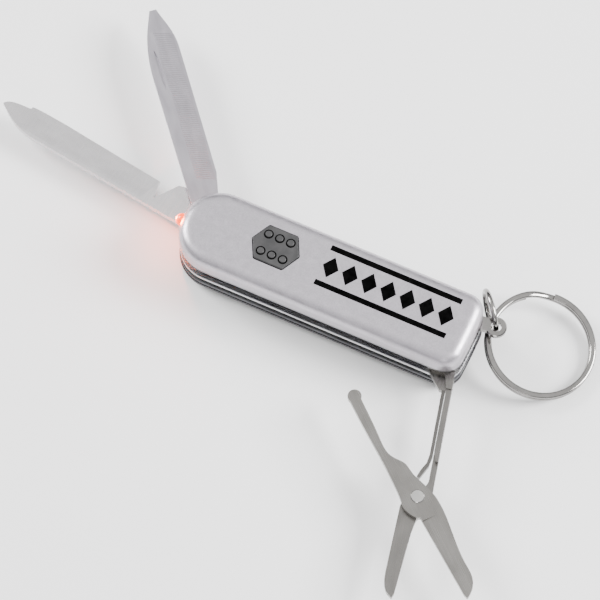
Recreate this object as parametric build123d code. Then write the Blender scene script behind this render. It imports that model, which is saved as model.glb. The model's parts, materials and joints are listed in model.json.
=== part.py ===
from build123d import *
import os
from math import atan2, cos, degrees, hypot, radians, sin

# A 58 mm key-ring multi tool: two tool layers between three liners, a plain back scale and a thicker
# front scale that holds a coin cell, a red LED and its push button.
# Frame: +X runs from the LED end to the key-ring end, +Y is the side that the blade and the nail file
# swing out of, +Z is up from the table to the front scale. The origin is on the table, under the middle
# of the handle. All lengths are millimetres and all angles are degrees.
# The tools are drawn part open: that is the rest pose of every joint.

# ---------------------------------------------------------------- driving dimensions
LENGTH = 58.0
WIDTH = 15.4
LED_END_RADIUS = 7.3
RING_END_RADIUS = 3.6
RING_END_BULGE = 0.3

BACK_SCALE_T = 2.6
LINER_T = 0.6
BLADE_LAYER_T = 1.6
TOOL_LAYER_T = 2.6
FRONT_SCALE_T = 4.2
SCALE_WALL = 1.2
SIDE_WALL = 1.5
FRONT_EDGE_ROUND = 2.2
BACK_EDGE_ROUND = 2.4
SHADOW_CHAMFER = 0.25

# heights of the layers above the table
Z_BACK_LINER = BACK_SCALE_T
Z_BLADE_LAYER = Z_BACK_LINER + LINER_T
Z_MIDDLE_LINER = Z_BLADE_LAYER + BLADE_LAYER_T
Z_TOOL_LAYER = Z_MIDDLE_LINER + LINER_T
Z_FRONT_LINER = Z_TOOL_LAYER + TOOL_LAYER_T
Z_FRONT_SCALE = Z_FRONT_LINER + LINER_T
Z_TOP = Z_FRONT_SCALE + FRONT_SCALE_T

# pins: centres and radii
KNIFE_PIN = (-24.7, 3.85)
SCISSOR_PIN = (24.8, -4.4)
MIDDLE_PIN = (11.5, -0.2)
ANCHOR_PIN = (24.5, 4.0)
PIVOT_R = 1.1
MIDDLE_PIN_R = 0.6
RUNNING_GAP = 0.04
SIDE_GAP = 0.1
COLLAR_R = 1.9
COLLAR_T = 0.8
COLLAR_SOCKET_R = 1.95
BOSS_WALL = 0.7
PIN_END_GAP = 0.1

# blade
BLADE_ANGLE = 171.9
BLADE_T = 1.4
BLADE_EDGE_T = 0.16
TANG_R = 3.0
NICK_DEPTH = 0.35

# nail file
FILE_ANGLE = 130.2
FILE_T = 1.15
FILE_TIP_T = 0.55
FILE_LENGTH = 44.6
SCREWDRIVER_LENGTH = 4.5

# scissors: the arm is drawn along +X from its pin, the lever along +X from the rivet
SCISSOR_ANGLE = -76.0
LEVER_ANGLE = -41.0
RIVET_ON_ARM = (27.8, 0.55)
SCISSOR_PLATE_T = 1.1
LEVER_T = 1.0
LEVER_LIFT = 0.1
SCISSOR_TANG_R = 3.0
RIVET_R = 1.0
RIVET_HEAD_R = 1.25
RIVET_HEAD_T = 0.2
HUB_R = 2.6
LEAF_T = 0.9

# light
BUTTON_CENTRE = (-10.6, 0.55)
BUTTON_X_R = 4.65
BUTTON_Y_R = 3.6
BUTTON_FLAT = 2.8
BUTTON_PROUD = 0.3
BUTTON_GAP = 0.15
BUTTON_FLANGE_T = 0.45
DOT_PITCH = 2.2
DOT_ROW = 1.8
DOT_R = 0.65
DOT_H = 0.22
LED_Y = -0.4
LED_Z = Z_FRONT_SCALE + 1.5
LED_R = 1.25
LED_HOLE_R = 1.35
LED_RIM_R = 1.42
LED_RIM_X = -25.8
LED_BARREL = 3.2
LED_REAR = LED_RIM_X + 0.8
CELL_CENTRE = (3.2, 0.0)
CELL_R = 5.0
CELL_T = 2.4
CELL_LIFT = 0.25
LEAD_T = 0.16
LEAD_W = 0.6
HOLDER_Z = Z_FRONT_SCALE + 0.4
HOLDER_T = 0.6

# key ring: the lug's hole, the link through it, and the split ring through the link
LUG_HOLE = (31.5, 5.0)
LUG_T = 1.0
LUG_R = 1.95
LUG_HOLE_R = 1.0
LUG_NECK_W = 2.6
LINK_DIRECTION = -51.4
LINK_TILT = 20.0
LINK_R = 4.0
LINK_WIRE_R = 0.5
RING_CENTRE = (39.6, 6.9)
RING_MEAN_R = 9.75
RING_WIRE_W = 1.3
RING_TURN_T = 0.95
RING_TILT = 11.7


# ---------------------------------------------------------------- shared helpers
def handle_outline(inset=0.0):
    """The handle's plan: a nearly semicircular LED end and a blunt, softly bulged key-ring end."""
    half_l = LENGTH / 2
    half_w = WIDTH / 2
    shoulder = half_l - RING_END_BULGE
    edge = Line((-half_l, -half_w), (shoulder, -half_w))
    edge += ThreePointArc((shoulder, -half_w), (half_l, 0), (shoulder, half_w))
    edge += Polyline((shoulder, half_w), (-half_l, half_w), (-half_l, -half_w))
    face = make_face(edge)
    corners = face.vertices().sort_by(Axis.X)
    face = fillet(corners[:2], LED_END_RADIUS)
    corners = face.vertices().sort_by(Axis.X)
    face = fillet(corners[-2:], RING_END_RADIUS)
    if inset:
        face = offset(face, amount=-inset)
    return face


def slab(face, z, thickness):
    """A plan face made into a plate that starts at height z."""
    return extrude(Pos(0, 0, z) * face, amount=thickness)


def rod(centre, radius, z, height):
    """A vertical cylinder that starts at height z."""
    return Pos(centre[0], centre[1], z + height / 2) * Cylinder(radius, height)


def tube(centre, inner, outer, z, height):
    """A vertical ring that starts at height z."""
    return rod(centre, outer, z, height) - rod(centre, inner, z - 1, height + 2)


def posed(shape, pivot, angle):
    """Puts a tool that is drawn along +X from its pivot at the origin into the handle."""
    return Pos(pivot[0], pivot[1], 0) * Rot(0, 0, angle) * shape


def turned(point, angle):
    """A plan point turned about the origin."""
    x, y = point
    c = cos(radians(angle))
    s = sin(radians(angle))
    return (x * c - y * s, x * s + y * c)


def write(name, shape):
    """Writes one node."""
    solids = shape.solids()
    body = solids[0] if len(solids) == 1 else Compound(children=list(solids))
    export_step(body, f"parts/{name}.step")


def strip(path, y):
    """A flat strip of LEAD_T by LEAD_W that follows a path of (x, z) points at one y."""
    top = [(x, z + LEAD_T) for x, z in reversed(path)]
    profile = make_face(Polyline(*path, *top, close=True))
    return Pos(0, y, 0) * extrude(Plane.XZ * profile, amount=LEAD_W / 2, both=True)


PINS = (
    (KNIFE_PIN, PIVOT_R),
    (SCISSOR_PIN, PIVOT_R),
    (MIDDLE_PIN, MIDDLE_PIN_R),
    (ANCHOR_PIN, PIVOT_R),
)
RIVET_AT = tuple(p + q for p, q in zip(SCISSOR_PIN, turned(RIVET_ON_ARM, SCISSOR_ANGLE)))


# ---------------------------------------------------------------- liners and scales
def liner(z):
    """One stamped liner with its pin holes."""
    plate = slab(handle_outline(0.15), z, LINER_T)
    for centre, radius in PINS:
        plate -= rod(centre, radius, z - 1, LINER_T + 2)
    return chamfer(plate.edges().group_by(Axis.Z)[-1].filter_by(GeomType.LINE), 0.08)


def back_scale():
    """Plain cover that snaps on to the four back collars, rounded all round its outer edge."""
    cover = slab(handle_outline(), 0, BACK_SCALE_T)
    cover = fillet(cover.edges().group_by(Axis.Z)[0], BACK_EDGE_ROUND)
    for centre, _ in PINS:
        cover -= rod(centre, COLLAR_SOCKET_R, BACK_SCALE_T - COLLAR_T - PIN_END_GAP, COLLAR_T + 1)
    return cover


def button_outline(grow=0.0):
    """A six-sided button face, wider along X."""
    points = [
        (BUTTON_X_R, 0),
        (BUTTON_FLAT, BUTTON_Y_R),
        (-BUTTON_FLAT, BUTTON_Y_R),
        (-BUTTON_X_R, 0),
        (-BUTTON_FLAT, -BUTTON_Y_R),
        (BUTTON_FLAT, -BUTTON_Y_R),
    ]
    face = make_face(Polyline(*points, close=True))
    face = fillet(face.vertices(), 0.35)
    if grow:
        face = offset(face, amount=grow)
    return Pos(BUTTON_CENTRE[0], BUTTON_CENTRE[1], 0) * face


def front_scale():
    """Hollow cover: pin bosses, a button opening, an LED hole and a cradle wall round the coin cell."""
    cover = slab(handle_outline(), Z_FRONT_SCALE, FRONT_SCALE_T)
    cover = fillet(cover.edges().group_by(Axis.Z)[-1], FRONT_EDGE_ROUND)
    cover = chamfer(cover.edges().group_by(Axis.Z)[0], SHADOW_CHAMFER)
    hollow_h = FRONT_SCALE_T - SCALE_WALL
    hollow = slab(handle_outline(SIDE_WALL), Z_FRONT_SCALE - 1, hollow_h + 1)
    for centre, _ in PINS:
        hollow -= rod(centre, COLLAR_SOCKET_R + BOSS_WALL, Z_FRONT_SCALE - 1, hollow_h + 1)
    hollow -= tube(CELL_CENTRE, CELL_R + 0.15, CELL_R + 0.75, Z_FRONT_SCALE, hollow_h)
    lead_gap = Box(3, 3.6, hollow_h)
    hollow += Pos(CELL_CENTRE[0] - CELL_R, CELL_CENTRE[1], Z_FRONT_SCALE + hollow_h / 2) * lead_gap
    cover -= hollow
    for centre, _ in PINS:
        cover -= rod(centre, COLLAR_SOCKET_R, Z_FRONT_SCALE - 1, 1 + COLLAR_T + PIN_END_GAP)
    cover -= slab(button_outline(BUTTON_GAP), Z_TOP - 2, 4)
    led_hole = Pos(-LENGTH / 2, LED_Y, LED_Z) * Rot(0, 90, 0) * Cylinder(LED_HOLE_R, 6)
    return cover - led_hole


# ---------------------------------------------------------------- pins and collars
def pin(centre, radius):
    """A plain pin that runs through all layers into the collars on both sides."""
    low = Z_BACK_LINER - COLLAR_T
    high = Z_FRONT_SCALE + COLLAR_T
    body = rod(centre, radius, low, high - low)
    return chamfer(body.edges().filter_by(GeomType.CIRCLE), 0.12)


def collars():
    """The brass collars that the pins are peened into, which the scales snap over."""
    rings = []
    for centre, radius in PINS:
        for z in (Z_BACK_LINER - COLLAR_T, Z_FRONT_SCALE):
            rings.append(tube(centre, radius, COLLAR_R, z, COLLAR_T))
    return Compound(children=rings)


# ---------------------------------------------------------------- springs and spacers
TONGUE_END = -25.6
TONGUE_TOP = KNIFE_PIN[1] - TANG_R - 0.05


def blade_spring():
    """Back spring of the blade layer: held by three pins, its free tongue bears under the blade's tang."""
    outline = make_face(
        Polyline(
            (TONGUE_END, TONGUE_TOP),
            (-21.0, TONGUE_TOP),
            (-19.6, -3.4),
            (2.0, -3.0),
            (7.0, 0.9),
            (22.0, 0.9),
            (23.0, 6.4),
            (28.4, 6.4),
            (28.4, -7.0),
            (-24.0, -7.0),
            (-26.6, -3.6),
            close=True,
        )
    )
    outline = outline & handle_outline(0.6)
    bar = slab(outline, Z_BLADE_LAYER + SIDE_GAP / 2, BLADE_LAYER_T - SIDE_GAP)
    for centre, radius in PINS[1:]:
        bar -= rod(centre, radius, Z_BLADE_LAYER - 1, BLADE_LAYER_T + 2)
    return bar


def tool_spring():
    """Centre spring of the tool layer: it bears on the file's tang and on the scissors' tang."""
    z = Z_TOOL_LAYER + SIDE_GAP / 2
    scissor_side = SCISSOR_PIN[1] + SCISSOR_TANG_R + 0.08
    outline = make_face(
        Polyline(
            (TONGUE_END, TONGUE_TOP),
            (-21.2, TONGUE_TOP),
            (-20.2, 0.72),
            (21.0, 0.72),
            (22.2, 5.6),
            (27.2, 5.6),
            (28.2, 4.6),
            (28.2, scissor_side),
            (21.6, scissor_side),
            (20.8, -1.15),
            (-25.2, -1.15),
            close=True,
        )
    )
    bar = slab(outline, z, FILE_T)
    for centre, radius in PINS[2:]:
        bar -= rod(centre, radius, z - 1, FILE_T + 2)
    return bar


def spacers():
    """Washers that fill the tool layer above the file's tang and above the centre spring."""
    z = Z_TOOL_LAYER + FILE_T + SIDE_GAP
    height = Z_FRONT_LINER - z
    return Compound(
        children=[
            tube(KNIFE_PIN, PIVOT_R, 2.6, z, height),
            tube(MIDDLE_PIN, MIDDLE_PIN_R, 1.2, z, height),
        ]
    )


# ---------------------------------------------------------------- blade
def blade():
    """Pen blade: tang, notch, straight spine with a dropped point, flat ground down to the edge."""
    z = Z_BLADE_LAYER + (BLADE_LAYER_T - BLADE_T) / 2
    edge = Polyline((0, 2.6), (1.2, 2.7), (5.5, 3.6), (37.0, 3.85))
    edge += Spline((37.0, 3.85), (40.8, 3.45), (43.2, 2.6), (46.5, 0.7), tangents=((1, 0.0), (0.85, -0.5)))
    edge += Spline((46.5, 0.7), (45.6, -0.3), (41.8, -1.15), (33.4, -2.0), tangents=((-0.3, -1), (-1, 0.0)))
    edge += Polyline((33.4, -2.0), (13.0, -1.7), (12.1, 2.0), (9.5, -2.7))
    edge += Polyline((9.5, -2.7), (8.1, -3.1), (4.0, -2.5), (0, -2.6))
    edge += Line((0, -2.6), (0, 2.6))
    outline = make_face(edge) + Circle(TANG_R)
    plate = slab(outline, z, BLADE_T)

    # flat grind on both faces, from under the spine to the cutting edge, stopped at the heel
    high_y, low_y = 3.2, -2.0
    rise = (BLADE_T - BLADE_EDGE_T) / 2
    over = 1.25
    end_y = high_y - over * (high_y - low_y)
    section = make_face(Polyline((high_y, 0), (end_y, 0), (end_y, -over * rise), close=True))
    side = extrude(Plane.YZ * section, amount=60)
    ground = make_face(Polyline((12.2, -3.6), (14.4, 3.5), (50, 6), (50, -3.6), close=True))
    window = slab(ground, z - 1, BLADE_T + 2)
    plate -= (Pos(0, 0, z + BLADE_T) * side) & window
    plate -= (Pos(0, 0, z) * mirror(side, about=Plane.XY)) & window

    nick = Pos(26, 2.75, z) * Rot(-78, 0, 0) * Cylinder(11, 0.45)
    plate -= nick & (Pos(26, 2.75, z) * Box(9, 2, 2 * NICK_DEPTH))
    plate -= rod((0, 0), PIVOT_R + RUNNING_GAP, z - 1, BLADE_T + 2)
    return posed(plate, KNIFE_PIN, BLADE_ANGLE)


# ---------------------------------------------------------------- nail file
def nail_file():
    """Nail file with a crescent nail nick and a thinned screwdriver tip."""
    z = Z_TOOL_LAYER + SIDE_GAP / 2
    tip_y = (0.5, -0.8)
    edge = Polyline((0, 2.6), (1.2, 2.7), (4.0, 3.15), (28.0, 3.35))
    tip_high, tip_low = (FILE_LENGTH, tip_y[0]), (FILE_LENGTH, tip_y[1])
    edge += Spline((28.0, 3.35), (34.0, 3.25), (39.0, 2.4), tip_high, tangents=((1, 0.01), (1, -0.36)))
    edge += Line(tip_high, tip_low)
    edge += Spline(tip_low, (41.8, -1.7), (38.0, -2.75), (33.5, -2.95), tangents=((-1, -0.25), (-1, 0)))
    edge += Polyline((33.5, -2.95), (8.9, -2.9), (6.3, -2.4), (4.0, -1.95), (0, -2.6), (0, 2.6))
    outline = make_face(edge) + Circle(TANG_R)
    plate = slab(outline, z, FILE_T)

    # the screwdriver tip is ground thin on both faces
    thin = (FILE_T - FILE_TIP_T) / 2
    start = FILE_LENGTH - SCREWDRIVER_LENGTH
    flat = make_face(Polyline((start, 0), (FILE_LENGTH + 0.5, 0), (FILE_LENGTH + 0.5, -thin), close=True))
    ramp = extrude(Plane.XZ * flat, amount=12, both=True)
    plate -= Pos(0, 0, z + FILE_T) * ramp
    plate -= Pos(0, 0, z) * mirror(ramp, about=Plane.XY)

    # crescent nick between two arcs
    left, right = (27.7, 1.75), (36.3, 1.85)
    crescent = ThreePointArc(left, (31.8, 1.35), right)
    crescent += ThreePointArc(right, (31.8, 2.05), left)
    nick = make_face(crescent)
    plate -= slab(nick, z + FILE_T - NICK_DEPTH, 2)
    plate -= rod((0, 0), PIVOT_R + RUNNING_GAP, z - 1, FILE_T + 2)
    return posed(plate, KNIFE_PIN, FILE_ANGLE)


# ---------------------------------------------------------------- scissors
Z_SCISSOR = Z_TOOL_LAYER + SIDE_GAP
Z_LEVER = Z_SCISSOR + SCISSOR_PLATE_T + LEVER_LIFT


def scissor_body():
    """Fixed half: full-height tang on the pin, a ribbed arm, the hub and the lower blade."""
    hx, hy = RIVET_ON_ARM
    arm_low, arm_high = 1.95, 3.0
    arm = make_face(
        Polyline(
            (0, -2.6),
            (2.9, -1.7),
            (4.9, -0.3),
            (6.2, 0.7),
            (6.2, arm_low),
            (24.2, arm_low),
            (hx, hy),
            (hx, 3.1),
            (24.7, 3.05),
            (3.4, arm_high),
            (0, 2.6),
            close=True,
        )
    )
    back = Line((hx, -1.9), (29.8, -2.3))
    back += Line((29.8, -2.3), (42.6, -2.6))
    back += Spline((42.6, -2.6), (45.2, -2.3), (46.5, -1.6), (47.3, -0.7), tangents=((1, 0), (0.8, 0.7)))
    cutting = Polyline((47.3, -0.7), (46.4, -0.35), (38.5, 0.25), (34.4, 0.6), (31.8, 1.05))
    cutting += Polyline((31.8, 1.05), (29.6, 2.3), (hx, 2.9), (hx, -1.9))
    outline = arm + Circle(SCISSOR_TANG_R) + Pos(hx, hy) * Circle(HUB_R) + make_face(back + cutting)
    plate = slab(outline, Z_SCISSOR, SCISSOR_PLATE_T)

    # the tang fills the layer's height, and a rib stiffens the arm's outer edge
    full_h = TOOL_LAYER_T - 2 * SIDE_GAP
    root_corners = [(0, -2.6), (2.4, -1.7), (3.1, 1.2), (6.2, arm_low)]
    top_corners = [(6.2, arm_high), (3.4, arm_high), (0, 2.6)]
    tang = make_face(Polyline(*root_corners, *top_corners, close=True))
    plate += slab(tang + Circle(SCISSOR_TANG_R), Z_SCISSOR, full_h)
    rib_corners = [(6.0, arm_low), (18.5, arm_low), (20.5, 2.5), (20.5, arm_high), (6.0, arm_high)]
    rib = make_face(Polyline(*rib_corners, close=True))
    plate += slab(rib, Z_SCISSOR, SCISSOR_PLATE_T + LEVER_T)

    # outer face of the blade is ground towards the cutting edge
    bevel = make_face(Polyline((1.2, 0), (1.2, 0.55), (-1.6, 0), close=True))
    bevel = Pos(32.2, 0, 0) * extrude(Plane.YZ * bevel, amount=20)
    plate -= Pos(0, 0, Z_SCISSOR) * bevel
    plate -= rod((0, 0), PIVOT_R + RUNNING_GAP, 0, 20)
    plate -= rod(RIVET_ON_ARM, RIVET_R, 0, 20)
    return posed(plate, SCISSOR_PIN, SCISSOR_ANGLE)


def scissor_lever():
    """Moving half: thumb lever with a rounded end, hub and upper blade."""
    neck = [(-21.5, -1.3), (-13.0, -1.45), (-9.3, -1.1), (-7.7, 0.0), (-6.3, 0.8)]
    hump = [(-4.1, 1.15), (0.65, 2.8), (6.5, 3.0), (15.0, 2.4), (21.2, 0.0)]
    top = Spline(*neck, tangents=((1, 0), (1, 0.2)))
    top += Line((-6.3, 0.8), (-4.1, 1.15))
    top += Spline(*hump, tangents=((0.9, 0.3), (0.6, -1.0)))
    low = Polyline((21.2, 0.0), (20.4, -0.3), (3.9, -1.25))
    low += Spline((3.9, -1.25), (2.8, -2.5), (1.3, -3.15), (-2.4, -2.85), tangents=((-0.3, -1), (-1, 0.05)))
    low += Spline((-2.4, -2.85), (-8.0, -2.85), (-14.2, -3.1), (-21.9, -3.3), tangents=((-1, 0), (-1, 0)))
    end = ThreePointArc((-21.9, -3.3), (-23.7, -2.3), (-21.5, -1.3))
    plate = slab(make_face(top + low + end), Z_LEVER, LEVER_T)

    # the blade's upper face is ground towards its cutting edge
    bevel = make_face(Polyline((-2.6, 0), (-2.6, -0.5), (1.2, 0), close=True))
    bevel = Pos(4.6, 0.2, 0) * extrude(Plane.YZ * bevel, amount=20)
    plate -= Pos(0, 0, Z_LEVER + LEVER_T) * bevel
    plate -= rod((0, 0), RIVET_R + RUNNING_GAP, 0, 20)
    return posed(plate, RIVET_AT, LEVER_ANGLE)


def scissor_rivet():
    """Shouldered rivet that holds the two halves together."""
    top = Z_LEVER + LEVER_T
    body = rod((0, 0), RIVET_R, Z_SCISSOR, top - Z_SCISSOR)
    head = rod((0, 0), RIVET_HEAD_R, top + 0.02, RIVET_HEAD_T)
    head = chamfer(head.edges().group_by(Axis.Z)[-1], 0.12)
    body += head + rod((0, 0), RIVET_R, top - 0.1, 0.2)
    return Pos(RIVET_AT[0], RIVET_AT[1], 0) * body


def scissor_leaf():
    """Leaf spring that lies along the arm and pushes the lever open."""
    strip_face = make_face(
        Polyline(
            (6.2, 1.15),
            (18.9, 1.2),
            (20.6, 0.95),
            (22.2, 0.1),
            (23.5, -0.35),
            (23.8, 0.2),
            (22.7, 0.7),
            (21.2, 1.45),
            (19.2, 1.8),
            (6.2, 1.8),
            close=True,
        )
    )
    return posed(slab(strip_face, Z_SCISSOR + 0.1, LEAF_T), SCISSOR_PIN, SCISSOR_ANGLE)


# ---------------------------------------------------------------- light
def button():
    """Six-sided push button with six grip dots and a flange that keeps it in the scale."""
    cap_low = Z_TOP - SCALE_WALL
    cap = slab(button_outline(), cap_low - 0.5, SCALE_WALL + 0.5 + BUTTON_PROUD)
    cap = chamfer(cap.edges().group_by(Axis.Z)[-1], 0.15)
    for row in (-1, 1):
        for column in (-1, 0, 1):
            spot = (BUTTON_CENTRE[0] + column * DOT_PITCH, BUTTON_CENTRE[1] + row * DOT_ROW)
            dot = rod(spot, DOT_R, Z_TOP + BUTTON_PROUD - 0.1, DOT_H + 0.1)
            cap += fillet(dot.edges().group_by(Axis.Z)[-1], 0.15)
    flange = slab(button_outline(0.7), cap_low - 0.5, BUTTON_FLANGE_T)
    stem = rod(BUTTON_CENTRE, 1.2, cap_low - 0.9, 0.6)
    return cap + flange + stem


def led():
    """Red LED: domed lens through the end wall, body and rim behind it."""
    axis = Pos(LED_RIM_X, LED_Y, LED_Z) * Rot(0, -90, 0)
    body = axis * Pos(0, 0, LED_BARREL / 2) * Cylinder(LED_R, LED_BARREL)
    dome = axis * Pos(0, 0, LED_BARREL) * Sphere(LED_R)
    rim = axis * Pos(0, 0, -0.4) * Cylinder(LED_RIM_R, 0.8)
    return body + dome + rim


def coin_cell():
    """3 V coin cell: can and a smaller stepped cap."""
    z = Z_FRONT_SCALE + CELL_LIFT
    can = rod(CELL_CENTRE, CELL_R, z, CELL_T - 0.3)
    can = fillet(can.edges().group_by(Axis.Z)[0], 0.3)
    cap = rod(CELL_CENTRE, CELL_R - 0.9, z + CELL_T - 0.3, 0.3)
    return can + cap


def led_leads():
    """The LED's two flat leads: one passes over the holder to the cell's cap, one under it to the can."""
    over_holder = HOLDER_Z + HOLDER_T + 0.05
    over_cell = Z_FRONT_SCALE + CELL_LIFT + CELL_T + 0.04
    under = Z_FRONT_SCALE + 0.05
    exit_z = LED_Z - LEAD_T / 2
    upper = [(LED_REAR, exit_z), (-23.4, exit_z), (-22.4, over_holder), (-6.0, over_holder)]
    upper += [(-3.4, over_cell), (2.5, over_cell)]
    lower = [(LED_REAR, exit_z), (-23.9, exit_z), (-22.9, under), (1.0, under)]
    return Compound(children=[strip(upper, LED_Y + 0.7), strip(lower, LED_Y - 0.7)])


def light_holder():
    """Plastic tray on four feet that carries the upper lead and the contact dome under the button."""
    low_x, high_x, half_w = -21.4, -5.4, 3.2
    middle = (low_x + high_x) / 2
    tray = Pos(middle, BUTTON_CENTRE[1], HOLDER_Z + HOLDER_T / 2) * Box(high_x - low_x, 2 * half_w, HOLDER_T)
    tray = fillet(tray.edges().filter_by(Axis.Z), 0.8)
    foot_h = HOLDER_Z - Z_FRONT_SCALE
    for x in (low_x + 1.2, high_x - 1.2):
        for y in (-2.65, 2.65):
            tray += rod((x, BUTTON_CENTRE[1] + y), 0.6, Z_FRONT_SCALE, foot_h)
    return tray


def contact_dome():
    """Snap dome that the button's stem presses on to the upper lead."""
    base = HOLDER_Z + HOLDER_T + LEAD_T + 0.08
    sphere_r = 5.0
    rise = 0.3
    shell = Sphere(sphere_r) - Sphere(sphere_r - 0.12)
    cap = Pos(0, 0, sphere_r - rise / 2) * Box(8, 8, rise)
    centre = (BUTTON_CENTRE[0], BUTTON_CENTRE[1], base - sphere_r + rise)
    return Pos(*centre) * (shell & cap)


# ---------------------------------------------------------------- lug, link and key ring
LUG_Z = Z_FRONT_LINER - SIDE_GAP - LUG_T
LUG_MID_Z = LUG_Z + LUG_T / 2


def ring_lug():
    """Flat lug on the anchor pin that sticks out of the key-ring end, with a hole for the link."""
    root_z = Z_TOOL_LAYER + FILE_T + SIDE_GAP
    across = atan2(LUG_HOLE[1] - ANCHOR_PIN[1], LUG_HOLE[0] - ANCHOR_PIN[0])
    reach = hypot(LUG_HOLE[1] - ANCHOR_PIN[1], LUG_HOLE[0] - ANCHOR_PIN[0])
    neck = Rot(0, 0, degrees(across)) * Pos(reach / 2, 0) * Rectangle(reach, LUG_NECK_W)
    neck = Pos(*ANCHOR_PIN) * neck
    lug = slab(neck + Pos(*LUG_HOLE) * Circle(LUG_R), LUG_Z, LUG_T)
    lug += rod(ANCHOR_PIN, 2.5, root_z, LUG_Z + LUG_T - root_z)
    lug -= rod(ANCHOR_PIN, PIVOT_R, 0, 20)
    lug -= rod(LUG_HOLE, LUG_HOLE_R, 0, 20)
    return chamfer(lug.edges().filter_by(GeomType.CIRCLE).group_by(Axis.X)[-1], 0.15)


def link_ring():
    """Small closed ring that stands upright through the lug's hole and holds the key ring."""
    out = LINK_R * cos(radians(LINK_TILT))
    down = LINK_R * sin(radians(LINK_TILT))
    shift = turned((-out, 0), LINK_DIRECTION)
    centre = (LUG_HOLE[0] + shift[0], LUG_HOLE[1] + shift[1], LUG_MID_Z - down)
    return Pos(*centre) * Rot(0, 0, LINK_DIRECTION) * Rot(90, 0, 0) * Torus(LINK_R, LINK_WIRE_R)


def key_ring():
    """Split key ring of two flat turns that lie on each other, tipped down towards its far side."""
    half = RING_WIRE_W / 2
    turns = []
    for z in (-RING_TURN_T - 0.01, 0.01):
        turn = tube((0, 0), RING_MEAN_R - half, RING_MEAN_R + half, z, RING_TURN_T)
        turns.append(fillet(turn.edges().filter_by(GeomType.CIRCLE), 0.3))
    bridge = Pos(RING_MEAN_R, 0, 0) * Box(RING_WIRE_W - 0.6, 2.4, 0.4)
    ring = turns[0] + turns[1] + bridge
    low = RING_TURN_T * cos(radians(RING_TILT)) + (RING_MEAN_R + half) * sin(radians(RING_TILT))
    return Pos(RING_CENTRE[0], RING_CENTRE[1], low) * Rot(0, RING_TILT, 0) * ring


# ---------------------------------------------------------------- write every node
def main():
    os.makedirs("parts", exist_ok=True)
    write("back_scale", back_scale())
    write("back_liner", liner(Z_BACK_LINER))
    write("middle_liner", liner(Z_MIDDLE_LINER))
    write("front_liner", liner(Z_FRONT_LINER))
    write("front_scale", front_scale())
    write("knife_pin", pin(KNIFE_PIN, PIVOT_R))
    write("scissor_pin", pin(SCISSOR_PIN, PIVOT_R))
    write("middle_pin", pin(MIDDLE_PIN, MIDDLE_PIN_R))
    write("anchor_pin", pin(ANCHOR_PIN, PIVOT_R))
    write("pin_collars", collars())
    write("blade_spring", blade_spring())
    write("tool_spring", tool_spring())
    write("spacer_washers", spacers())
    write("blade", blade())
    write("nail_file", nail_file())
    write("scissor_body", scissor_body())
    write("scissor_lever", scissor_lever())
    write("scissor_rivet", scissor_rivet())
    write("scissor_leaf_spring", scissor_leaf())
    write("light_button", button())
    write("led", led())
    write("coin_cell", coin_cell())
    write("led_leads", led_leads())
    write("light_holder", light_holder())
    write("contact_dome", contact_dome())
    write("ring_lug", ring_lug())
    write("link_ring", link_ring())
    write("key_ring", key_ring())


main()
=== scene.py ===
import json
import math

import bmesh
import bpy
from mathutils import Matrix, Vector


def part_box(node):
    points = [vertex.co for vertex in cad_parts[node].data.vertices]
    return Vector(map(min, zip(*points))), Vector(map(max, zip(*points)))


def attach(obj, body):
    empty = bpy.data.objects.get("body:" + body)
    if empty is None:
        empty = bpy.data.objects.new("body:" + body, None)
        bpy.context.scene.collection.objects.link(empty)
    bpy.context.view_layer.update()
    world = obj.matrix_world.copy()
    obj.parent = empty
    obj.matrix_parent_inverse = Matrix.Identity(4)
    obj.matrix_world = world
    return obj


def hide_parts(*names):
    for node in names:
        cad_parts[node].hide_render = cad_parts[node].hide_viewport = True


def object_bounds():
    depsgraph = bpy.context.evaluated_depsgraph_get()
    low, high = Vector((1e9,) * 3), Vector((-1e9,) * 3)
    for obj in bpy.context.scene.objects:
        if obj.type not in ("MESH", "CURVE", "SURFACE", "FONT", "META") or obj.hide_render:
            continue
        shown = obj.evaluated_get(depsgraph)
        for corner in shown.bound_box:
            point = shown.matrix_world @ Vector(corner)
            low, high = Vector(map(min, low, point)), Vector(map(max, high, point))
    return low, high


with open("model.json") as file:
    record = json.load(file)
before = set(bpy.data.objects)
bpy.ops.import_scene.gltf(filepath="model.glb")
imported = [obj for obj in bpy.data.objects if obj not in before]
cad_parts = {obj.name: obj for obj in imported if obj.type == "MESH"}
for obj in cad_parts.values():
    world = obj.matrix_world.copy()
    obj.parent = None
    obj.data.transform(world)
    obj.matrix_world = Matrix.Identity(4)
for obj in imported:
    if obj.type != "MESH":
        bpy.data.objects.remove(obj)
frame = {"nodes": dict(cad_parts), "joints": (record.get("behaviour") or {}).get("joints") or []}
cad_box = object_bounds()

# Looks of a 58 mm key-ring multi tool: metals with drawn grain, a silver painted front scale with a black
# print, a file with real teeth, a two-turn split ring and a lit red LED. Lengths are metres.
MM = 0.001
NODES = frame["nodes"]
JOINTS = {j["name"]: j for j in frame["joints"]}

PRINT_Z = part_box("front_scale")[1].z

# directions of the tools at rest, in degrees about +Z
BLADE_ANGLE = 171.9
FILE_ANGLE = 130.2
ARM_ANGLE = -76.0
LEVER_ANGLE = -41.0


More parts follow.
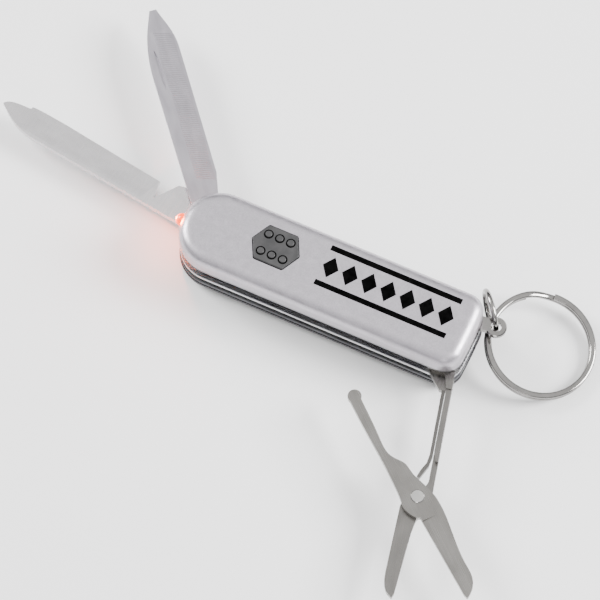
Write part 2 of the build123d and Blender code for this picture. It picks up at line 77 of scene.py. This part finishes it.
# ---------------------------------------------------------------- camera, floor and light
def make_camera():
    """A long lens, so that the view is nearly parallel, well above the object and a little to its right."""
    target = Vector((-3.0, -5.4, 8.6)) * MM
    azimuth, elevation, distance = math.radians(24.7), math.radians(66.0), 0.9
    back = Vector((
        math.sin(azimuth) * math.cos(elevation),
        -math.cos(azimuth) * math.cos(elevation),
        math.sin(elevation),
    ))
    data = bpy.data.cameras.new("camera")
    data.lens, data.sensor_width = 296.5, 36.0
    data.clip_start, data.clip_end = 0.01, 10.0
    camera = bpy.data.objects.new("camera", data)
    bpy.context.scene.collection.objects.link(camera)
    camera.location = target + back * distance
    camera.rotation_euler = (-back).to_track_quat("-Z", "Y").to_euler()
    bpy.context.scene.camera = camera


def make_world():
    """White overhead, dark at the horizon, so that polished metal has something to reflect."""
    world = bpy.data.worlds.new("studio")
    bpy.context.scene.world = world
    world.use_nodes = True
    nodes, links = world.node_tree.nodes, world.node_tree.links
    coords = nodes.new("ShaderNodeTexCoord")
    split = nodes.new("ShaderNodeSeparateXYZ")
    ramp = nodes.new("ShaderNodeValToRGB")
    ramp.color_ramp.elements[0].position = 0.2
    ramp.color_ramp.elements[0].color = (0.10, 0.10, 0.11, 1)
    ramp.color_ramp.elements[1].position = 0.85
    ramp.color_ramp.elements[1].color = (1.0, 1.0, 1.0, 1)
    links.new(coords.outputs["Generated"], split.inputs[0])
    links.new(split.outputs["Z"], ramp.inputs[0])
    links.new(ramp.outputs[0], nodes["Background"].inputs["Color"])
    nodes["Background"].inputs["Strength"].default_value = 1.5


def area_light(name, location, size, energy, colour=(1, 1, 1)):
    """A soft box that faces the middle of the object."""
    data = bpy.data.lights.new(name, "AREA")
    data.shape, data.size, data.size_y = "RECTANGLE", size[0], size[1]
    data.energy, data.color = energy, colour
    light = bpy.data.objects.new(name, data)
    bpy.context.scene.collection.objects.link(light)
    light.location = location
    light.rotation_euler = (-Vector(location)).to_track_quat("-Z", "Y").to_euler()


def make_lights():
    area_light("soft_box_right", (0.60, 0.28, 0.44), (0.35, 0.35), 15.0)
    area_light("soft_box_left", (-0.68, 0.06, 0.42), (0.30, 0.35), 9.0)
    area_light("fill_front", (0.20, -0.66, 0.34), (0.35, 0.15), 0.8)
    lamp_low, lamp_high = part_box("led")
    data = bpy.data.lights.new("led_light", "POINT")
    data.energy, data.color, data.shadow_soft_size = 0.008, (1.0, 0.14, 0.02), 0.8 * MM
    light = bpy.data.objects.new("led_light", data)
    bpy.context.scene.collection.objects.link(light)
    light.location = (lamp_low.x - 0.9 * MM, (lamp_low.y + lamp_high.y) / 2, (lamp_low.z + lamp_high.z) / 2)


def make_floor():
    mesh = bpy.data.meshes.new("floor")
    half, z = 3.0, cad_box[0].z - 0.02 * MM
    corners = [(-half, -half, z), (half, -half, z), (half, half, z), (-half, half, z)]
    mesh.from_pydata(corners, [], [(0, 1, 2, 3)])
    floor = bpy.data.objects.new("floor", mesh)
    bpy.context.scene.collection.objects.link(floor)
    material, nodes, links, shader = new_material("floor", (0.95, 0.95, 0.95), 0.7)
    mottle(nodes, links, shader, (0.945, 0.945, 0.95), (0.96, 0.96, 0.96), 14)
    mesh.materials.append(material)


# ---------------------------------------------------------------- materials
def new_material(name, colour, roughness, metallic=0.0):
    """A Principled material whose constant values sit on the shader's own sockets."""
    material = bpy.data.materials.new(name)
    material.use_nodes = True
    nodes, links = material.node_tree.nodes, material.node_tree.links
    shader = nodes["Principled BSDF"]
    shader.inputs["Base Color"].default_value = (*colour, 1)
    shader.inputs["Roughness"].default_value = roughness
    shader.inputs["Metallic"].default_value = metallic
    return material, nodes, links, shader


def noise(nodes, links, scale, detail=3.0, stretch=(1, 1, 1), angle=0.0):
    """Noise in the object's own coordinates, drawn out along a direction in plan."""
    coords = nodes.new("ShaderNodeTexCoord")
    turn = nodes.new("ShaderNodeMapping")
    turn.vector_type = "POINT"
    turn.inputs["Rotation"].default_value = (0, 0, math.radians(-angle))
    pull = nodes.new("ShaderNodeMapping")
    pull.inputs["Scale"].default_value = stretch
    texture = nodes.new("ShaderNodeTexNoise")
    texture.inputs["Scale"].default_value = scale
    texture.inputs["Detail"].default_value = detail
    links.new(coords.outputs["Object"], turn.inputs["Vector"])
    links.new(turn.outputs["Vector"], pull.inputs["Vector"])
    links.new(pull.outputs["Vector"], texture.inputs["Vector"])
    return texture.outputs["Fac"]


def mottle(nodes, links, shader, dark, light, scale, stretch=(1, 1, 1), angle=0.0, detail=3.0):
    """Base colour that wanders between two tones."""
    ramp = nodes.new("ShaderNodeValToRGB")
    ramp.color_ramp.elements[0].position, ramp.color_ramp.elements[1].position = 0.3, 0.7
    ramp.color_ramp.elements[0].color, ramp.color_ramp.elements[1].color = (*dark, 1), (*light, 1)
    links.new(noise(nodes, links, scale, detail, stretch, angle), ramp.inputs[0])
    links.new(ramp.outputs[0], shader.inputs["Base Color"])


def vary_roughness(nodes, links, shader, low, high, source):
    span = nodes.new("ShaderNodeMapRange")
    span.inputs["From Min"].default_value, span.inputs["From Max"].default_value = 0.3, 0.7
    span.inputs["To Min"].default_value, span.inputs["To Max"].default_value = low, high
    links.new(source, span.inputs["Value"])
    links.new(span.outputs["Result"], shader.inputs["Roughness"])


def add_bump(nodes, links, shader, source, depth, strength=1.0):
    bump = nodes.new("ShaderNodeBump")
    bump.inputs["Distance"].default_value, bump.inputs["Strength"].default_value = depth, strength
    links.new(source, bump.inputs["Height"])
    links.new(bump.outputs["Normal"], shader.inputs["Normal"])


def ground_steel(name, dark, light, rough, angle, lengthways=True):
    """Ground steel: fine lines along or across the tool, faint smudges and hairline scratches."""
    material, nodes, links, shader = new_material(name, light, rough[0], 1.0)
    stretch = (0.04, 1, 1) if lengthways else (1, 0.04, 1)
    grain = 2600
    mottle(nodes, links, shader, dark, light, 420, (0.5, 1, 1), angle)
    lines = noise(nodes, links, grain, 4.0, stretch, angle)
    vary_roughness(nodes, links, shader, rough[0], rough[1], lines)
    add_bump(nodes, links, shader, lines, 0.004 * MM, 0.6)
    return material


def silver_paint():
    """Silver paint on moulded plastic: fine metal flake, a thin clear coat and slight orange peel."""
    material, nodes, links, shader = new_material("silver_paint", (0.47, 0.443, 0.482), 0.4, 0.9)
    shader.inputs["Coat Weight"].default_value = 0.2
    shader.inputs["Coat Roughness"].default_value = 0.25
    mottle(nodes, links, shader, (0.42, 0.395, 0.432), (0.52, 0.494, 0.532), 5200, detail=2.0)
    vary_roughness(nodes, links, shader, 0.34, 0.46, noise(nodes, links, 700, 3.0))
    add_bump(nodes, links, shader, noise(nodes, links, 1500, 2.0), 0.006 * MM, 0.35)
    return material


def moulded_plastic(name, dark, light, rough, texture_scale=4200, depth=0.01 * MM):
    """Moulded plastic with a fine spark-eroded texture."""
    material, nodes, links, shader = new_material(name, light, rough[0])
    mottle(nodes, links, shader, dark, light, 500)
    grain = noise(nodes, links, texture_scale, 3.0)
    vary_roughness(nodes, links, shader, rough[0], rough[1], grain)
    add_bump(nodes, links, shader, grain, depth, 0.5)
    return material


def plated_metal(name, dark, light, rough):
    """Bright plating with faint handling marks."""
    material, nodes, links, shader = new_material(name, light, rough[0], 1.0)
    mottle(nodes, links, shader, dark, light, 300)
    vary_roughness(nodes, links, shader, rough[0], rough[1], noise(nodes, links, 900, 4.0))
    add_bump(nodes, links, shader, noise(nodes, links, 600, 2.0), 0.004 * MM, 0.4)
    return material


def led_lens():
    """Clear red-orange resin that is lit from inside."""
    material, nodes, links, shader = new_material("led_lens", (1.0, 0.25, 0.08), 0.12, 0.0)
    shader.inputs["IOR"].default_value = 1.5
    shader.inputs["Transmission Weight"].default_value = 0.35
    shader.inputs["Emission Strength"].default_value = 1.3
    mottle(nodes, links, shader, (0.90, 0.10, 0.02), (1.0, 0.18, 0.04), 700)
    shader.inputs["Emission Color"].default_value = (1.0, 0.13, 0.02, 1)
    return material


def print_ink():
    """Pad-printed black ink, slightly uneven."""
    material, nodes, links, shader = new_material("print_ink", (0.008, 0.008, 0.01), 0.6)
    shader.inputs["Specular IOR Level"].default_value = 0.0
    mottle(nodes, links, shader, (0.001, 0.001, 0.001), (0.003, 0.003, 0.003), 900)
    vary_roughness(nodes, links, shader, 0.52, 0.68, noise(nodes, links, 2600, 3.0))
    return material


def file_steel():
    """Bead-blasted steel of the file, a little darker than the blade."""
    material, nodes, links, shader = new_material("file_steel", (0.6, 0.58, 0.64), 0.42, 1.0)
    mottle(nodes, links, shader, (0.38, 0.362, 0.395), (0.46, 0.44, 0.478), 600, (0.3, 1, 1), FILE_ANGLE)
    grain = noise(nodes, links, 5200, 3.0)
    vary_roughness(nodes, links, shader, 0.34, 0.5, grain)
    add_bump(nodes, links, shader, grain, 0.01 * MM, 0.6)
    return material


def paint_nodes():
    """Gives every CAD node its material, by the part that it is."""
    liner = ground_steel("liner_aluminium", (0.70, 0.70, 0.72), (0.86, 0.86, 0.88), (0.22, 0.36), 0)
    # Front and back liners: the middle liner's aluminium painted much darker, as painted shade where they sit
    # in shadow.
    painted_shade = ground_steel("painted_shade_aluminium", (0.20, 0.20, 0.21), (0.28, 0.28, 0.29), (0.3, 0.42), 0)
    # Springs and contact dome: steel painted nearly black, as painted shade for the shadowed slots between
    # the liners.
    spring = ground_steel("spring_steel", (0.08, 0.08, 0.085), (0.13, 0.13, 0.135), (0.3, 0.45), 0)
    arm = ground_steel("arm_steel", (0.20, 0.192, 0.182), (0.25, 0.24, 0.227), (0.2, 0.34), ARM_ANGLE)
    lever = ground_steel("lever_steel", (0.24, 0.231, 0.218), (0.30, 0.289, 0.273), (0.18, 0.32), LEVER_ANGLE)
    leaf = ground_steel("leaf_steel", (0.14, 0.134, 0.127), (0.19, 0.182, 0.173), (0.2, 0.34), ARM_ANGLE)
    dark, light = (0.66, 0.64, 0.65), (0.74, 0.72, 0.73)
    cutter = ground_steel("blade_steel", dark, light, (0.2, 0.34), BLADE_ANGLE, lengthways=False)
    brass = plated_metal("pin_brass", (0.55, 0.42, 0.2), (0.72, 0.57, 0.3), (0.2, 0.34))
    plated = plated_metal("ring_plating", (0.24, 0.232, 0.225), (0.32, 0.31, 0.30), (0.08, 0.18))
    rivet = plated_metal("rivet_steel", (0.50, 0.49, 0.47), (0.64, 0.63, 0.61), (0.14, 0.24))
    cell = plated_metal("cell_steel", (0.6, 0.6, 0.6), (0.75, 0.75, 0.75), (0.16, 0.26))
    button = moulded_plastic("button_plastic", (0.02, 0.02, 0.021), (0.038, 0.037, 0.038), (0.45, 0.6))
    holder = moulded_plastic("holder_plastic", (0.02, 0.02, 0.02), (0.035, 0.035, 0.035), (0.5, 0.65))
    # Back scale: painted nearly black as painted shade, standing in for the shadow along its rounded side.
    back = moulded_plastic("painted_shade_back_plastic", (0.018, 0.018, 0.019), (0.03, 0.03, 0.032), (0.35, 0.5))
    finishes = {
        silver_paint(): ("front_scale",),
        back: ("back_scale",),
        liner: ("middle_liner",),
        painted_shade: ("front_liner", "back_liner"),
        spring: ("blade_spring", "tool_spring", "contact_dome"),
        arm: ("scissor_body",),
        leaf: ("scissor_leaf_spring",),
        lever: ("scissor_lever",),
        rivet: ("scissor_rivet",),
        cutter: ("blade",),
        file_steel(): ("nail_file",),
        brass: ("knife_pin", "scissor_pin", "middle_pin", "anchor_pin", "pin_collars", "spacer_washers"),
        plated: ("ring_lug", "link_ring", "key_ring"),
        cell: ("coin_cell", "led_leads"),
        button: ("light_button",),
        holder: ("light_holder",),
        led_lens(): ("led",),
    }
    for material, names in finishes.items():
        for name in names:
            NODES[name].data.materials.clear()
            NODES[name].data.materials.append(material)
    return plated


def soften_edges():
    """A tiny bevel on the steel tools and the button, so that their edges catch the light."""
    steel = ("blade", "nail_file", "scissor_body", "scissor_lever", "scissor_leaf_spring")
    for name in (*steel, "light_button"):
        bevel = NODES[name].modifiers.new("edge_break", "BEVEL")
        bevel.width, bevel.segments, bevel.limit_method = 0.06 * MM, 2, "ANGLE"
        bevel.angle_limit = math.radians(35)
        bevel.harden_normals = True


# ---------------------------------------------------------------- added pieces
def add_piece(name, mesh_data, material, body):
    """Makes an object of (vertices, faces) in the frame and puts it on its body."""
    mesh = bpy.data.meshes.new(name)
    mesh.from_pydata(mesh_data[0], [], mesh_data[1])
    mesh.update()
    mesh.materials.append(material)
    piece = bpy.data.objects.new(name, mesh)
    bpy.context.scene.collection.objects.link(piece)
    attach(piece, body)
    return piece


def prism(outline, low, high):
    """(vertices, faces) of a plan outline between two heights."""
    n = len(outline)
    points = [(x, y, low) for x, y in outline] + [(x, y, high) for x, y in outline]
    faces = [tuple(reversed(range(n))), tuple(range(n, 2 * n))]
    faces += [(i, (i + 1) % n, n + (i + 1) % n, n + i) for i in range(n)]
    return points, faces


def joined(solids):
    """Several (vertices, faces) as one."""
    points, faces = [], []
    for more_points, more_faces in solids:
        start = len(points)
        points += more_points
        faces += [tuple(start + i for i in face) for face in more_faces]
    return points, faces


def make_print(ink):
    """Generic print on the front scale: two square-ended bars with a row of diamonds between them."""
    centre_x, centre_y = 11.6 * MM, 1.1 * MM
    half_length, bar_y, bar_w, ink_t = 13.0 * MM, 3.7 * MM, 1.05 * MM, 0.03 * MM
    count, diamond_x, diamond_y = 7, 1.55 * MM, 2.15 * MM
    outlines = []
    for side in (-1, 1):
        y = centre_y + side * bar_y
        x0, x1 = centre_x - half_length, centre_x + half_length
        outlines.append([(x0, y - bar_w / 2), (x1, y - bar_w / 2), (x1, y + bar_w / 2), (x0, y + bar_w / 2)])
    pitch = 2 * (half_length - diamond_x) / (count - 1)
    for i in range(count):
        x = centre_x - half_length + diamond_x + i * pitch
        left, right = (x - diamond_x, centre_y), (x + diamond_x, centre_y)
        near, far = (x, centre_y - diamond_y), (x, centre_y + diamond_y)
        outlines.append([left, near, right, far])
    solid = joined(prism(outline, PRINT_Z - ink_t, PRINT_Z + ink_t) for outline in outlines)
    add_piece("front_print", solid, ink, "root")


def make_dot_rings(ink):
    """Dark rings round the six grip dots of the push button."""
    middle_x, middle_y, pitch, row_y, ring_r = -10.6 * MM, 0.55 * MM, 2.2 * MM, 1.8 * MM, 0.9 * MM
    cap_z, ink_t, sides = PRINT_Z + 0.3 * MM, 0.02 * MM, 32
    outlines = []
    for row in (-1, 1):
        for column in (-1, 0, 1):
            x, y = middle_x + column * pitch, middle_y + row * row_y
            turns = [2 * math.pi * i / sides for i in range(sides)]
            outlines.append([(x + ring_r * math.cos(a), y + ring_r * math.sin(a)) for a in turns])
    solid = joined(prism(outline, cap_z - ink_t, cap_z + ink_t) for outline in outlines)
    add_piece("button_rings", solid, ink, "light_button")


def make_file_teeth(steel):
    """Rows of fine slanting teeth on the file's upper face."""
    pivot = Vector(JOINTS["file_pivot"]["pos_m"])
    place = Matrix.Translation((pivot.x, pivot.y, 0)) @ Matrix.Rotation(math.radians(FILE_ANGLE), 4, "Z")
    file_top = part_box("nail_file")[1].z
    start, end, pitch = 7.5 * MM, 39.0 * MM, 0.42 * MM
    bottom_y, top_y, slant = -2.45 * MM, 1.05 * MM, 1.2 * MM
    tooth_w, tooth_h, sink = 0.2 * MM, 0.045 * MM, 0.02 * MM
    solids = []
    for i in range(int((end - start) / pitch)):
        x = start + i * pitch
        points = []
        for px, py in ((x, bottom_y), (x + slant, top_y)):
            points.append((px - tooth_w / 2, py, file_top - sink))
            points.append((px + tooth_w / 2, py, file_top - sink))
            points.append((px, py, file_top + tooth_h))
        points = [tuple(place @ Vector(p)) for p in points]
        solids.append((points, [(0, 2, 1), (3, 4, 5), (0, 1, 4, 3), (1, 2, 5, 4), (2, 0, 3, 5)]))
    add_piece("file_teeth", joined(solids), steel, "nail_file")


def ring_section(width, height, corner, steps=4):
    """Points of a rounded rectangle, as (outwards, up)."""
    points = []
    for quarter in range(4):
        cx = (width / 2 - corner) * (1 if quarter in (0, 3) else -1)
        cz = (height / 2 - corner) * (1 if quarter in (0, 1) else -1)
        for i in range(steps + 1):
            a = math.radians(90 * quarter + 90 * i / steps)
            points.append((cx + corner * math.cos(a), cz + corner * math.sin(a)))
    return points


def make_key_ring(plated):
    """Split ring: one flat wire of two turns that steps from the lower turn to the upper one."""
    low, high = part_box("key_ring")
    centre = (low + high) / 2
    outer = (high.y - low.y) / 2
    width, turn_t, gap, tilt = 1.2 * MM, 0.86 * MM, 0.03 * MM, math.radians(11.7)
    step_at, step_half, steps = math.radians(114.7), math.radians(15), 320
    section = ring_section(width, turn_t, 0.38 * MM)
    mean, lift = outer - width / 2, (turn_t + gap) / 2
    place = Matrix.Translation(centre) @ Matrix.Rotation(tilt, 4, "Y")
    first, last = step_half * 1.05, 4 * math.pi - step_half * 1.05
    points, faces, n = [], [], len(section)
    for i in range(steps + 1):
        t = first + (last - first) * i / steps
        s = min(1, max(0, (t - 2 * math.pi + step_half) / (2 * step_half)))
        z = lift * (2 * s * s * (3 - 2 * s) - 1)
        a = step_at + t
        for out, up in section:
            r = mean + out
            points.append(tuple(place @ Vector((r * math.cos(a), r * math.sin(a), z + up))))
        if i:
            for k in range(n):
                a0, b0 = (i - 1) * n + k, (i - 1) * n + (k + 1) % n
                faces.append((a0, a0 + n, b0 + n, b0))
    faces.append(tuple(range(n)))
    faces.append(tuple(reversed(range(steps * n, steps * n + n))))
    ring = add_piece("split_ring", (points, faces), plated, "key_ring")
    smooth_sides(ring)
    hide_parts("key_ring")


def smooth_sides(piece):
    """Smooth shading except across sharp edges."""
    mesh = piece.data
    work = bmesh.new()
    work.from_mesh(mesh)
    bmesh.ops.recalc_face_normals(work, faces=work.faces)
    for face in work.faces:
        face.smooth = True
    for edge in work.edges:
        edge.smooth = len(edge.link_faces) == 2 and edge.calc_face_angle(0) < math.radians(40)
    work.to_mesh(mesh)
    work.free()


def make_led_core():
    """The glowing chip cup inside the LED's resin."""
    low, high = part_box("led")
    middle_y, middle_z = (low.y + high.y) / 2, (low.z + high.z) / 2
    material, nodes, links, shader = new_material("led_core", (1.0, 0.5, 0.2), 0.4)
    mottle(nodes, links, shader, (1.0, 0.4, 0.1), (1.0, 0.6, 0.3), 1500)
    shader.inputs["Emission Color"].default_value = (1.0, 0.24, 0.04, 1)
    shader.inputs["Emission Strength"].default_value = 3.0
    sides, rings, radius, length = 20, 8, 0.62 * MM, 1.5 * MM
    points, faces = [], []
    start_x = low.x + 1.5 * MM
    for i in range(rings + 1):
        share = i / rings
        r = radius * math.sin(math.pi * (0.08 + 0.84 * share)) ** 0.7
        for k in range(sides):
            a = 2 * math.pi * k / sides
            points.append((start_x + length * share, middle_y + r * math.cos(a), middle_z + r * math.sin(a)))
        if i:
            for k in range(sides):
                a0, b0 = (i - 1) * sides + k, (i - 1) * sides + (k + 1) % sides
                faces.append((a0, b0, b0 + sides, a0 + sides))
    faces.append(tuple(reversed(range(sides))))
    faces.append(tuple(range(rings * sides, (rings + 1) * sides)))
    core = add_piece("led_core", (points, faces), material, "root")
    smooth_sides(core)


make_camera()
make_world()
make_floor()
make_lights()
plated = paint_nodes()
soften_edges()
ink = print_ink()
make_print(ink)
make_dot_rings(ink)
make_file_teeth(NODES["nail_file"].data.materials[0])
make_key_ring(plated)
make_led_core()

bpy.context.view_layer.update()
